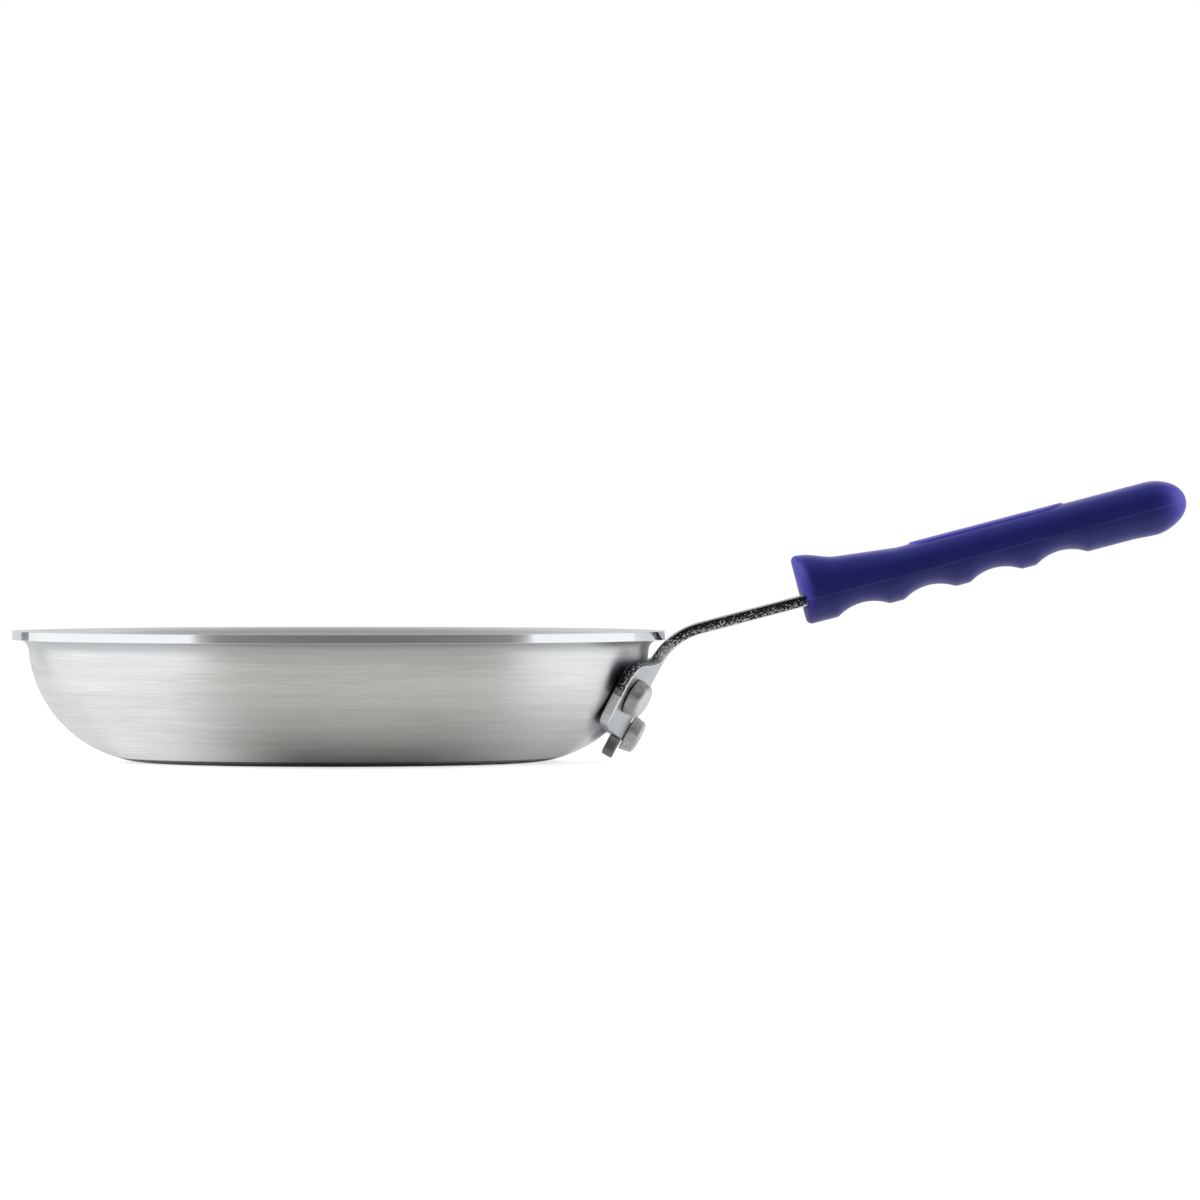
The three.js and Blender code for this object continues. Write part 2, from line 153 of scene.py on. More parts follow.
# Grip, with heights measured from the middle of the bar
GRIP_LENGTH = 154.75
GRIP_WIDTH = 27
GRIP_TOP = 10.94
GRIP_BOTTOM = 9.5
GRIP_END_WALL = 14.5
GRIP_END_LENGTH = 14.4
GRIP_SQUARENESS = 2.6
NOSE_LENGTH = 7
NOSE_FLAT = 6
NOSE_ROUND = 2.4
GUARD_RISE = 2.4
GUARD_CREST = 4
GUARD_FOOT = 17
GUARD_FLARE = 0.8
RAMP_RISE = 4.7
RAMP_END = 41
HOLLOW_COUNT = 4
HOLLOW_FIRST = 22.8
HOLLOW_PITCH = 26.5
HOLLOW_WIDTH = 20.6
HOLLOW_DEPTH = 3.05
HOLLOW_SOFTNESS = 0.4
HOLLOW_OVERRUN = 2
BULB_DROP = 0.5
BULB_REACH = 10
PAD_START = 46
PAD_LENGTH = 62
PAD_WIDTH = 15
PAD_RISE = 0.65
PAD_EDGE = 1.4
PAD_ROOT = 0.6
PAD_SEAM = 0.02
PAD_STEPS = 8
PAD_END_STEPS = 24
PARTING_RISE = 0.12
PARTING_HEIGHTS = (-0.55, -0.25, 0, 0.25, 0.5)
PARTING_RIDGE = [0, 0.3, 1, 0.3, 0]
PARTING_BELOW = math.radians(-8)
PARTING_ABOVE = math.radians(2)
PARTING_CORE = 0.12
PARTING_FADE = 0.32
LOWER_STEPS = 26
UPPER_STEPS = 30
END_STEPS = 22
LENGTH_STEPS = 180
TIP_DIVISION = 6
# Painted light on the grip's nose and round end
LIT_END_LENGTH = 15
LIT_END_SHARE = 0.35

# Colours
BRUSHED_DARK = (0.73, 0.722, 0.71, 1)
BRUSHED_LIGHT = (0.9, 0.9, 0.9, 1)
BRUSHED_DASH = (0.95, 0.95, 0.94, 1)
BRUSHED_CLOUD = (0.8, 0.805, 0.815, 1)
PAINTED_LIP_SHADE = (0.54, 0.55, 0.56, 1)
PAINTED_PLATE_SHADE = (0.15, 0.16, 0.18, 1)
POLISHED_RIM = (0.86, 0.875, 0.89, 1)
PLATED_DARK = (0.49, 0.515, 0.55, 1)
PLATED_LIGHT = (0.58, 0.605, 0.64, 1)
PLATED_CORNER_HIGHLIGHT = (0.85, 0.865, 0.88, 1)
WING_EDGE = (0.92, 0.94, 0.96, 1)
TONGUE_EDGE = (0.2, 0.205, 0.21, 1)
# Torn edges: rough, with a painted dark reflection and painted glints
TORN_DARK_REFLECTION = (0.02, 0.021, 0.023, 1)
TORN_GLINT = (0.9, 0.91, 0.92, 1)
RIVET_DARK = (0.39, 0.375, 0.365, 1)
RIVET_LIGHT = (0.64, 0.63, 0.62, 1)
RIVET_END_HIGHLIGHT = (0.76, 0.755, 0.75, 1)
SILICONE_DARK = (0.003, 0.006, 0.165, 1)
SILICONE_LIGHT = (0.005, 0.008, 0.195, 1)
PARTING_HIGHLIGHT = (0.04, 0.04, 0.33, 1)
SILICONE_PAINTED_LIGHT = (0.05, 0.03, 0.4, 1)
SILICONE_SHEEN = (0.55, 0.5, 1, 1)
WHITE = (1, 1, 1, 1)
FLOOR_GREY = (0.5, 0.5, 0.5, 1)
CARD_BLACK = (0.02, 0.02, 0.02, 1)
CARD_WARM = (1, 0.98, 0.945, 1)
CARD_COOL = (0.97, 0.99, 1, 1)

# Light, with lengths in metres
AMBIENT_LEVEL = 0.35
CEILING_LEVEL = 0.4
FLOOR_GLOW = 0.7
FAR_GLOW = 0.9
SIDE_RADIANCE = 8
TOP_RADIANCE = 1
CARD_RADIUS = 2.4
CARD_TOP = 2.2
PANEL_AIM = Vector((0.1, 0, 0.03))
FLOOR_RADIUS = 7
FLOOR_SEGMENTS = 96
NEAR_FLOOR = 0.5
FAR_FLOOR = 3

# Cards, with lengths in metres, and turns in degrees from straight in front of the pan round to the right
FRONT_NEAR = 0.09
NEAR_LEFT = -26
NEAR_RIGHT = 38
NEAR_SOFT = 23
FAR_LEFT = -46
FAR_RIGHT = 68
FAR_SOFT = 5
BACK_LEFT = 66
BACK_RIGHT = 80
BACK_FAR = 134
BACK_NEARING = 7.4
BACK_FADE_BEFORE = 4
BACK_FADE_AFTER = 8
FRONT_CARD_TURNS = (-50, 72)
FRONT_CARD_LEVEL = 0.145
FRONT_CARD_SOFT = 3
FRONT_CARD_BOW = 0.2
GAP_CARD_TURNS = (-145.5, -136.5)
GAP_CARD_LEVEL = 0.13
BACK_CARD_TURNS = (127, 214.5)
BACK_CARD_LEVEL = 0.72
FLOOR_CARD_HEIGHT = 0.002

# Camera, in metres, with the lens and its film in millimetres
CAMERA_LENS = 269.9
CAMERA_FILM = 36
CAMERA_X = 0.10156
CAMERA_BACK = 3.5
CAMERA_HEIGHT = 0.095
CAMERA_AIM = 0.0629
CAMERA_REACH = 100


def spread(start, end, steps):
    """Equal steps from one value to another, both ends included."""
    return [start + (end - start) * i / steps for i in range(steps + 1)]


def arc(centre, radius, start, end, steps):
    """Points on a circle, with the angle measured from straight down and growing outwards."""
    x, y = centre
    return [(x + radius * math.sin(a), y - radius * math.cos(a)) for a in spread(start, end, steps)]


def smoothstep(value, low, high):
    share = min(1, max(0, (value - low) / (high - low)))
    return share * share * (3 - 2 * share)


def revolve(profile, segments):
    """A profile of (radius, height) points turned about Z, with one point where it meets the axis."""
    points = []
    rows = []
    for radius, height in profile:
        count = segments if radius > 0 else 1
        rows.append(range(len(points), len(points) + count))
        for i in range(count):
            angle = 2 * math.pi * i / segments
            points.append(Vector((radius * math.cos(angle), radius * math.sin(angle), height)))
    faces = []
    for low, high in zip(rows, rows[1:]):
        for i in range(segments):
            j = (i + 1) % segments
            ring = [low[i % len(low)], low[j % len(low)], high[j % len(high)], high[i % len(high)]]
            faces.append(list(dict.fromkeys(ring)))
    return points, faces, rows


def loft(rings):
    """One closed skin over a row of rings with the same number of points."""
    count = len(rings[0])
    points = [point for ring in rings for point in ring]
    faces = []
    for start in range(0, len(points) - count, count):
        for i in range(count):
            j = (i + 1) % count
            faces.append([start + i, start + j, start + count + j, start + count + i])
    faces.append(list(range(count))[::-1])
    faces.append(list(range(len(points) - count, len(points))))
    return points, faces


def new_mesh(name, points, faces):
    mesh = bpy.data.meshes.new(name)
    mesh.from_pydata([Vector(point) * MM for point in points], [], faces)
    return mesh


def store(mesh, name, values):
    """Keeps a number or a vector at each point of a mesh, for its material to read."""
    values = np.array(values, np.float32)
    kind, field = ("FLOAT_VECTOR", "vector") if values.ndim == 2 else ("FLOAT", "value")
    attribute = mesh.attributes.new(name, kind, "POINT")
    attribute.data.foreach_set(field, values.ravel())


def place(name, mesh, material, node):
    """Shows a mesh in the place of a CAD node, riding on that node's body."""
    mesh.shade_smooth()
    mesh.materials.append(material)
    piece = bpy.data.objects.new(name, mesh)
    bpy.context.scene.collection.objects.link(piece)
    normals = piece.modifiers.new("normals", "WEIGHTED_NORMAL")
    normals.weight = 60
    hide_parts(node)
    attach(piece, frame["nodes"][node]["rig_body"])


class Paint:
    """The nodes of a material or a world, with short ways to add and join them."""

    def __init__(self, material):
        self.material = material
        self.material.use_nodes = True
        self.tree = material.node_tree

    def fill(self, node, inputs):
        for key, value in inputs.items():
            socket = node.inputs[key]
            if isinstance(value, bpy.types.NodeSocket):
                self.tree.links.new(value, socket)
            else:
                socket.default_value = value

    def add(self, kind, inputs=None, **settings):
        node = self.tree.nodes.new(kind)
        for key, value in settings.items():
            setattr(node, key, value)
        self.fill(node, inputs or {})
        return node

    def attribute(self, name, field="Vector"):
        return self.add("ShaderNodeAttribute", attribute_name=name).outputs[field]

    def stretched(self, vector, scale):
        node = self.add("ShaderNodeVectorMath", {0: vector, 1: scale}, operation="MULTIPLY")
        return node.outputs[0]

    def noise(self, vector, scale, detail=3, roughness=0.55):
        inputs = {"Vector": vector, "Scale": scale, "Detail": detail, "Roughness": roughness}
        return self.add("ShaderNodeTexNoise", inputs).outputs["Fac"]

    def ramp(self, value, low, high, first, last, smooth=False):
        inputs = {"Value": value, "From Min": low, "From Max": high, "To Min": first, "To Max": last}
        kind = "SMOOTHSTEP" if smooth else "LINEAR"
        return self.add("ShaderNodeMapRange", inputs, interpolation_type=kind).outputs["Result"]

    def math(self, operation, one, two):
        return self.add("ShaderNodeMath", {0: one, 1: two}, operation=operation).outputs[0]

    def blend(self, share, one, two):
        node = self.add("ShaderNodeMix", data_type="RGBA")
        self.fill(node, {0: share, 6: one, 7: two})
        return node.outputs[2]

    def bump(self, height, distance, strength=1.0):
        inputs = {"Height": height, "Distance": distance, "Strength": strength}
        return self.add("ShaderNodeBump", inputs).outputs["Normal"]

    def finish(self, **inputs):
        shader = self.tree.nodes["Principled BSDF"]
        self.fill(shader, {key.replace("_", " "): value for key, value in inputs.items()})
        return self.material


# Aluminium body. The wall is one arc from the flat base up to the rim, which turns out over a smaller arc.
lip_underside = PAN_HEIGHT - SHEET
wall_turn = math.acos(1 - lip_underside / (WALL_BEND + RIM_BEND))
rim_bend = (RIM_RADIUS - RIM_LIP, lip_underside - RIM_BEND)
base_radius = rim_bend[0] - (WALL_BEND + RIM_BEND) * math.sin(wall_turn)
wall_bend = (base_radius, WALL_BEND)


def lip_shade_at(height):
    """How much painted shade the outside gets at a height. It is just under the lip, and not below that."""
    return smoothstep(height, lip_underside - LIP_SHADE_START, lip_underside - LIP_SHADE_FULL)


def body_profile():
    """The section as (radius, height, polish, lip_shade).

    The turned rim edge is smoother than the brushed rest, and the outside gets painted shade just under the
    lip.
    """
    lower = (RIM_RADIUS - RIM_EDGE, lip_underside + RIM_EDGE)
    upper = (RIM_RADIUS - RIM_EDGE, PAN_HEIGHT - RIM_EDGE)
    brushed_out = [(radius, 0) for radius in spread(0, base_radius, BASE_STEPS)[:-1]]
    brushed_out += arc(wall_bend, WALL_BEND, 0, wall_turn, WALL_STEPS)
    under_rim = arc(rim_bend, RIM_BEND, wall_turn - math.pi, -math.pi, UNDER_RIM_STEPS)
    rim = arc(lower, RIM_EDGE, 0, QUARTER, EDGE_STEPS)
    rim += arc(upper, RIM_EDGE, QUARTER, math.pi, EDGE_STEPS)
    over_rim = arc(rim_bend, RIM_BEND + SHEET, -math.pi, wall_turn - math.pi, OVER_RIM_STEPS)
    brushed_in = arc(wall_bend, WALL_BEND - SHEET, wall_turn, 0, WALL_STEPS)
    brushed_in += [(radius, SHEET) for radius in spread(base_radius, 0, BASE_STEPS)[1:]]
    profile = [(radius, height, 0, lip_shade_at(height)) for radius, height in brushed_out + under_rim[1:]]
    for section, polish in ((rim, 1), (over_rim, OVER_RIM_POLISH), (brushed_in[1:], 0)):
        profile += [(radius, height, polish, 0) for radius, height in section]
    return profile


def brushed_aluminium():
    """Satin metal brushed in rings, with a smoother rim, painted shade under the lip, and painted shade and
    a painted dark reflection beside the plate.
    """
    paint = Paint(bpy.data.materials.new("brushed_aluminium"))
    rings = paint.attribute("rings")
    polish = paint.attribute("polish", "Fac")
    lip_shade = paint.math("MULTIPLY", paint.attribute("lip_shade", "Fac"), LIP_SHADE_SHARE)
    fine = paint.noise(paint.stretched(rings, FINE_STREAKS), 1.0, 4, 0.65)
    broad = paint.noise(paint.stretched(rings, BROAD_STREAKS), 1.0, 3, 0.6)
    cloud = paint.noise(paint.stretched(rings, CLOUDS), 1.0, 2)
    dashes = paint.noise(paint.stretched(rings, DASHES), 1.0, 2)
    streaks = paint.math("ADD", paint.math("MULTIPLY", fine, 0.55), paint.math("MULTIPLY", broad, 0.45))
    color = paint.blend(paint.ramp(streaks, 0.36, 0.64, 0, 1), BRUSHED_DARK, BRUSHED_LIGHT)
    color = paint.blend(paint.ramp(dashes, 0.6, 0.7, 0, 0.8, smooth=True), color, BRUSHED_DASH)
    color = paint.blend(paint.ramp(cloud, 0.35, 0.7, 0, 0.35), color, BRUSHED_CLOUD)
    # Painted shade: darker just under the lip
    color = paint.blend(lip_shade, color, PAINTED_LIP_SHADE)
    # Painted shade and a painted dark reflection of the plate, darkening the wall beside it
    plate_shade = paint.math("MULTIPLY", paint.attribute("plate_shade", "Fac"), PLATE_SHADE_SHARE)
    color = paint.blend(plate_shade, color, PAINTED_PLATE_SHADE)
    color = paint.blend(polish, color, POLISHED_RIM)
    brushed = paint.ramp(streaks, 0.35, 0.65, 0.38, 0.31)
    roughness = paint.ramp(polish, 0, 1, brushed, 0.1)
    relief = paint.math("MULTIPLY", fine, paint.ramp(polish, 0, 1, 1, 0.05))
    tangent = paint.add("ShaderNodeTangent", direction_type="RADIAL", axis="Z").outputs[0]
    return paint.finish(
        Base_Color=color,
        Metallic=1,
        Roughness=roughness,
        Anisotropic=0.85,
        Anisotropic_Rotation=0.25,
        Tangent=tangent,
        Normal=paint.bump(relief, 0.00012, 0.35),
    )


def spun_body():
    profile = body_profile()
    section = [(radius, height) for radius, height, polish, lip_shade in profile]
    points, faces, rows = revolve(section, BODY_SEGMENTS)
    steps = [math.dist(one, two) for one, two in zip(section, section[1:])]
    lengths = np.concatenate([[0], np.cumsum(steps)])
    rings = []
    polish = []
    lip_shade = []
    plate_shade = []
    for row, length, (radius, height, row_polish, row_lip_shade) in zip(rows, lengths, profile):
        for i in row:
            direction = points[i].xy.normalized() if radius else Vector((0, 0))
            rings.append((direction.x, direction.y, length))
            polish.append(row_polish)
            lip_shade.append(row_lip_shade)
            plate_shade.append(beside_plate(points[i]))
    mesh = new_mesh("spun_body", [flattened(point) for point in points], faces)
    store(mesh, "rings", rings)
    store(mesh, "polish", polish)
    store(mesh, "lip_shade", lip_shade)
    store(mesh, "plate_shade", plate_shade)
    place("spun_body", mesh, brushed_aluminium(), "pan_body")


# Handle. In its plane, along points up the plate and out points away from the pan.
along = Vector((math.sin(PLATE_TILT), 0, math.cos(PLATE_TILT)))
out = Vector((math.cos(PLATE_TILT), 0, -math.sin(PLATE_TILT)))
side = Vector((0, 1, 0))
plate_half = RIVET_SPACING / 2 + WING_MARGIN
plate_reach = WALL_BEND + SEAT_GAP - PLATE_SINK
plate_seat = Vector((wall_bend[0], 0, wall_bend[1])) + out * plate_reach
wall_curve = plate_seat.x / math.cos(PLATE_TILT)
plate_curve = 1 / (1 / wall_curve - 2 * PLATE_SINK / plate_half**2)

rim_edge = Vector((RIM_RADIUS, 0, lip_underside)) - plate_seat
edge_stands_out = rim_edge.dot(out)
bend_chord = (edge_stands_out + RIM_CLEARANCE) * (2 * HANDLE_BEND + RIM_CLEARANCE - edge_stands_out)
bend_start = rim_edge.dot(along) - math.sqrt(bend_chord)
bend_turn = QUARTER - PLATE_TILT - HANDLE_RISE
bend_end = bend_start + HANDLE_BEND * bend_turn
upper_row = bend_start - RIVETS_BELOW_BEND
lower_row = upper_row - RIVET_ROW_PITCH
tongue_end = lower_row - TONGUE_MARGIN
grip_front = bend_end + EXPOSED_BAR
bar_in_grip = GRIP_LENGTH - GRIP_END_WALL - GRIP_CLEARANCE
bar_end = grip_front + bar_in_grip


def flattened(point):
    """Where a point of the body goes when the wall's outside is pressed flatter behind the plate."""
    offset = point - plate_seat
    across = point.y
    if abs(across) > plate_half or abs(offset.dot(along)) > RIVETS_BELOW_BEND or point.x < 0:
        return point
    depth = offset.dot(out)
    limit = math.sqrt(plate_curve**2 - across**2) - plate_curve - SEAT_GAP
    if limit < depth < limit + 2 * PLATE_SINK:
        return point + out * (limit - depth)
    return point


def beside_plate(point):
    """How close a place on the wall's outside is to the plate, where the wall gets painted shade and a
    painted dark reflection of the plate.
    """
    radius = point.xy.length
    if point.x < 0 or math.dist((radius, point.z), wall_bend) < WALL_BEND - SHEET / 2:
        return 0
    height = (point - plate_seat).dot(along)
    across = math.atan2(point.y, point.x) * plate_seat.x
    lower = upper_row - WING_LOWER_MARGIN
    upper = bend_start + SHOULDER_RISE - (plate_half - BAR_HALF) * math.tan(SHOULDER_SLOPE)
    over = abs(height - (lower + upper) / 2) - (upper - lower) / 2 + WING_UPPER_ROUND
    beyond = abs(across) - plate_half + WING_UPPER_ROUND
    distance = math.hypot(max(0, over), max(0, beyond)) - WING_UPPER_ROUND
    return 1 - smoothstep(distance, 0, PLATE_SHADE_MARGIN)


def bar_at(distance):
    """Where the bar's upper face runs at a distance along it, with the direction out of its underside."""
    turn = min(bend_turn, max(0, (distance - bend_start) / HANDLE_BEND))
    tilt = PLATE_TILT + turn
    ahead = Vector((math.sin(tilt), 0, math.cos(tilt)))
    under = Vector((math.cos(tilt), 0, -math.sin(tilt)))
    point = plate_seat + along * min(distance, bend_start) + (out - under) * HANDLE_BEND
    return point + ahead * max(0, distance - bend_end), under


def bent(distance, across, depth):
    """A point of the flat blank moved by the bends. The plate is also pressed to the curve of the wall."""
    point, under = bar_at(distance)
    curve = (1 - smoothstep(distance, bend_start, bend_end)) / plate_curve
    if curve == 0:
        return point + under * depth + side * across
    radius = 1 / curve + depth
    angle = across * curve
    return point + under * (radius * math.cos(angle) - 1 / curve) + side * radius * math.sin(angle)


def rounded(corners, steps):
    """Straight edges between corners of (x, y, radius), each corner rounded to its own radius."""
    points = []
    for i, (x, y, radius) in enumerate(corners):
        at = Vector((x, y))
        if not radius:
            points.append(at)
            continue
        back = (Vector(corners[i - 1][:2]) - at).normalized()
        forth = (Vector(corners[i + 1][:2]) - at).normalized()
        half = back.angle(forth) / 2
        centre = at + (back + forth).normalized() * radius / math.sin(half)
        first = at + back * radius / math.tan(half) - centre
        turn = math.copysign(math.pi - 2 * half, first.cross(at - centre))
        for angle in spread(0, turn, steps):
            points.append(centre + Matrix.Rotation(angle, 2) @ first)
    return points


def blank_outline():
    """The closed outline of the flat blank: tongue, wings, shoulders and bar."""
    wing = plate_half - BAR_HALF
    shoulder = bend_start + SHOULDER_RISE
    wing_end = upper_row - WING_LOWER_MARGIN
    half = rounded(
        [
            (tongue_end, 0, 0),
            (tongue_end, BAR_HALF, TONGUE_END_ROUND),
            (wing_end - wing * math.tan(WING_LOWER_SLOPE), BAR_HALF, TONGUE_FILLET),
            (wing_end, plate_half - WING_TAPER, WING_LOWER_ROUND),
            (shoulder - wing * math.tan(SHOULDER_SLOPE), plate_half, WING_UPPER_ROUND),
            (shoulder, BAR_HALF, SHOULDER_FILLET),
            (bar_end, BAR_HALF, BAR_END_ROUND),
            (bar_end, 0, 0),
        ],
        CORNER_STEPS,
    )[1:-1]
    return half + [Vector((point.x, -point.y)) for point in reversed(half)]


def outward(outline):
    """The direction out of each point of a closed outline, long enough to move its edges by one."""
    count = len(outline)
    edges = [(outline[(i + 1) % count] - outline[i]).normalized() for i in range(count)]
    normals = [Vector((-edge.y, edge.x)) for edge in edges]
    middles = [(normals[i - 1] + normals[i]).normalized() for i in range(count)]
    return [middle / middle.dot(normals[i]) for i, middle in enumerate(middles)]


def edge_section():
    """The blank's edge from its upper to its lower face, as (distance in from the outline, depth)."""
    turns = spread(0, QUARTER, EDGE_STEPS)
    top = [(BAR_EDGE * (1 - math.sin(a)), BAR_EDGE * (1 - math.cos(a))) for a in turns]
    return top + [(inset, BAR_THICKNESS - depth) for inset, depth in reversed(top)]


def cut_across(blank, axis, places):
    """Cuts the flat blank along lines, so that it has points to bend at."""
    normal = Vector((0, 0, 0))
    normal[axis] = 1
    for at in places:
        everything = blank.verts[:] + blank.edges[:] + blank.faces[:]
        bmesh.ops.bisect_plane(
            blank, geom=everything, dist=CUT_TOLERANCE, plane_co=normal * at, plane_no=normal
        )


def flat_blank():
    """The blank with its rounded edges, before it is bent."""
    outline = blank_outline()
    normals = outward(outline)
    blank = bmesh.new()
    loops = []
    for inset, depth in edge_section():
        corners = [point - normal * inset for point, normal in zip(outline, normals)]
        loops.append([blank.verts.new((corner.x, corner.y, depth)) for corner in corners])
    for one, two in zip(loops, loops[1:]):
        for i in range(len(outline)):
            j = (i + 1) % len(outline)
            blank.faces.new((one[i], one[j], two[j], two[i]))
    blank.faces.new(loops[0])
    blank.faces.new(loops[-1])
    cut_across(blank, 0, spread(tongue_end, bend_end, CUTS_ALONG)[1:])
    cut_across(blank, 1, spread(-plate_half, plate_half, CUTS_ACROSS)[1:-1])
    bmesh.ops.remove_doubles(blank, verts=blank.verts, dist=MERGE_DISTANCE)
    return blank


def plated_steel():
    """Bright plated faces, with a painted highlight on their rounded corners. The sheared edges are torn on
    the bar and the upper wings, and smooth below; the torn parts are painted near black with painted
    glints.
    """
    paint = Paint(bpy.data.materials.new("plated_steel"))
    blank = paint.attribute("blank")
    parts = paint.add("ShaderNodeSeparateXYZ", {0: blank})
    distance, depth = parts.outputs[0], parts.outputs[2]
    rest = paint.math("SUBTRACT", BAR_THICKNESS, depth)
    inside = paint.math("MINIMUM", depth, rest)
    tongue = paint.ramp(distance, upper_row - WING_LOWER_MARGIN, lower_row, 1, 0)
    edge_start = paint.ramp(tongue, 0, 1, 0.25, 0.0)
    edge_full = paint.ramp(tongue, 0, 1, 0.5, 0.2)
    edge = paint.ramp(inside, edge_start, edge_full, 0, 1, smooth=True)
    corner = paint.ramp(inside, 0.05, 0.2, 0, 1, smooth=True)
    waver = paint.noise(paint.stretched(blank, (0.25, 0.25, 0.0)), 1.0, 2)
    wavy_distance = paint.math("ADD", distance, paint.ramp(waver, 0, 1, -TORN_WAVER, TORN_WAVER))
    torn_place = paint.ramp(wavy_distance, -TORN_FADE, 0, 0, 1, smooth=True)
    torn = paint.math("MULTIPLY", edge, torn_place)
    grain = paint.noise(paint.stretched(blank, (1.3, 1.3, 2.4)), 1.0, 4, 0.65)
    lower = paint.ramp(depth, 1.0, 3.2, -0.06, 0.03)
    past_bend = paint.math("SUBTRACT", distance, bend_start + BEND_TEARS_AT)
    off_bend = paint.math("ABSOLUTE", past_bend, 0)
    at_bend = paint.ramp(off_bend, 0, BEND_TEARS_REACH, BEND_TEARS, 0)
    tears = paint.math("ADD", grain, paint.math("ADD", lower, at_bend))
    # Painted glints on the torn edges, more of them near the bend; the near-black under them is a painted
    # dark reflection
    glints = paint.ramp(tears, 0.55, 0.61, 0, 1, smooth=True)
    mottle = paint.noise(paint.stretched(blank, (0.16, 0.16, 0.16)), 1.0, 4)
    face = paint.blend(mottle, PLATED_DARK, PLATED_LIGHT)
    sheared = paint.blend(glints, TORN_DARK_REFLECTION, TORN_GLINT)
    sides = paint.blend(tongue, WING_EDGE, TONGUE_EDGE)
    # Painted highlight along the rounded corners of the edges
    plated = paint.blend(corner, face, PLATED_CORNER_HIGHLIGHT)
    burnished = paint.blend(edge, plated, sides)
    color = paint.blend(torn, burnished, sheared)
    rough_face = paint.ramp(mottle, 0.3, 0.7, 0.24, 0.36)
    roughness = paint.ramp(torn, 0, 1, rough_face, 0.42)
    relief = paint.math("MULTIPLY", grain, paint.ramp(torn, 0, 1, 0.03, 1))
    return paint.finish(
        Base_Color=color, Metallic=1, Roughness=roughness, Normal=paint.bump(relief, 0.0008, 0.9)
    )


def bar_handle():
    blank = flat_blank()
    flat = [tuple(vert.co) for vert in blank.verts]
    for vert in blank.verts:
        vert.co = bent(*vert.co) * MM
    bmesh.ops.recalc_face_normals(blank, faces=blank.faces)
    if blank.calc_volume(signed=True) < 0:
        bmesh.ops.reverse_faces(blank, faces=blank.faces)
    mesh = bpy.data.meshes.new("bar_handle")
    blank.to_mesh(mesh)
    blank.free()
    store(mesh, "blank", flat)
    place("bar_handle", mesh, plated_steel(), "handle")


# Rivets. Each axis stands square on the plate and runs through the wall.
def rivet_profile(wall_depth):
    """The outer head and the shank, as (radius, height) with the plate's inner face at zero."""
    seat = BAR_THICKNESS + SEAT_GAP
    top = seat + OUTER_HEAD_HEIGHT
    corner = (OUTER_HEAD_RADIUS - OUTER_HEAD_TAPER - OUTER_HEAD_ROUND, top - OUTER_HEAD_ROUND)
    start = -wall_depth - INNER_HEAD_EDGE
    profile = [(0, start), (SHANK_RADIUS, start), (SHANK_RADIUS, seat)]
    profile += [(OUTER_HEAD_RADIUS - OUTER_HEAD_BEVEL, seat), (OUTER_HEAD_RADIUS, seat + OUTER_HEAD_BEVEL)]
    profile += arc(corner, OUTER_HEAD_ROUND, QUARTER, math.pi, 8)
    flat = corner[0]
    profile += [(flat * share, top + OUTER_HEAD_CROWN * (1 - share**2)) for share in (0.75, 0.5, 0.25, 0)]
    return profile


def inner_head_profile():
    """The low crowned head inside the pan, from its edge on the wall to the middle of its crown."""
    crown = INNER_HEAD_HEIGHT - INNER_HEAD_EDGE
    radius = (INNER_HEAD_RADIUS**2 + crown**2) / (2 * crown)
    turn = math.asin(INNER_HEAD_RADIUS / radius)
    low = (INNER_HEAD_RADIUS, -INNER_HEAD_EDGE)
    crowned = arc((0, INNER_HEAD_HEIGHT - radius), radius, math.pi - turn, math.pi, INNER_HEAD_STEPS)
    return [(0, low[1]), low, *crowned[:-1], (0, INNER_HEAD_HEIGHT)]


def aimed(points, origin, direction):
    """Points modelled along +Z, set at an origin with +Z turned to a direction."""
    turn = Vector((0, 0, 1)).rotation_difference(direction)
    return [origin + turn @ point for point in points]


def rivet_aluminium():
    """Plain metal with small dents, and a painted highlight on the rivet's ends: the outer head's end and
    the inner head.
    """
    paint = Paint(bpy.data.materials.new("rivet_aluminium"))
    coordinates = paint.add("ShaderNodeTexCoord").outputs["Object"]
    dents = paint.noise(coordinates, 420, 2)
    grain = paint.noise(coordinates, 1800, 4, 0.65)
    mottle = paint.math("ADD", paint.math("MULTIPLY", dents, 0.6), paint.math("MULTIPLY", grain, 0.4))
    color = paint.blend(paint.ramp(mottle, 0.35, 0.65, 0, 1), RIVET_DARK, RIVET_LIGHT)
    # Painted highlight on the rivet's ends
    end_highlight = paint.math("MULTIPLY", paint.attribute("end_highlight", "Fac"), END_HIGHLIGHT_SHARE)
    color = paint.blend(end_highlight, color, RIVET_END_HIGHLIGHT)
    return paint.finish(
        Base_Color=color,
        Metallic=1,
        Roughness=paint.ramp(mottle, 0.35, 0.65, 0.5, 0.34),
        Normal=paint.bump(mottle, 0.0006, 0.5),
    )


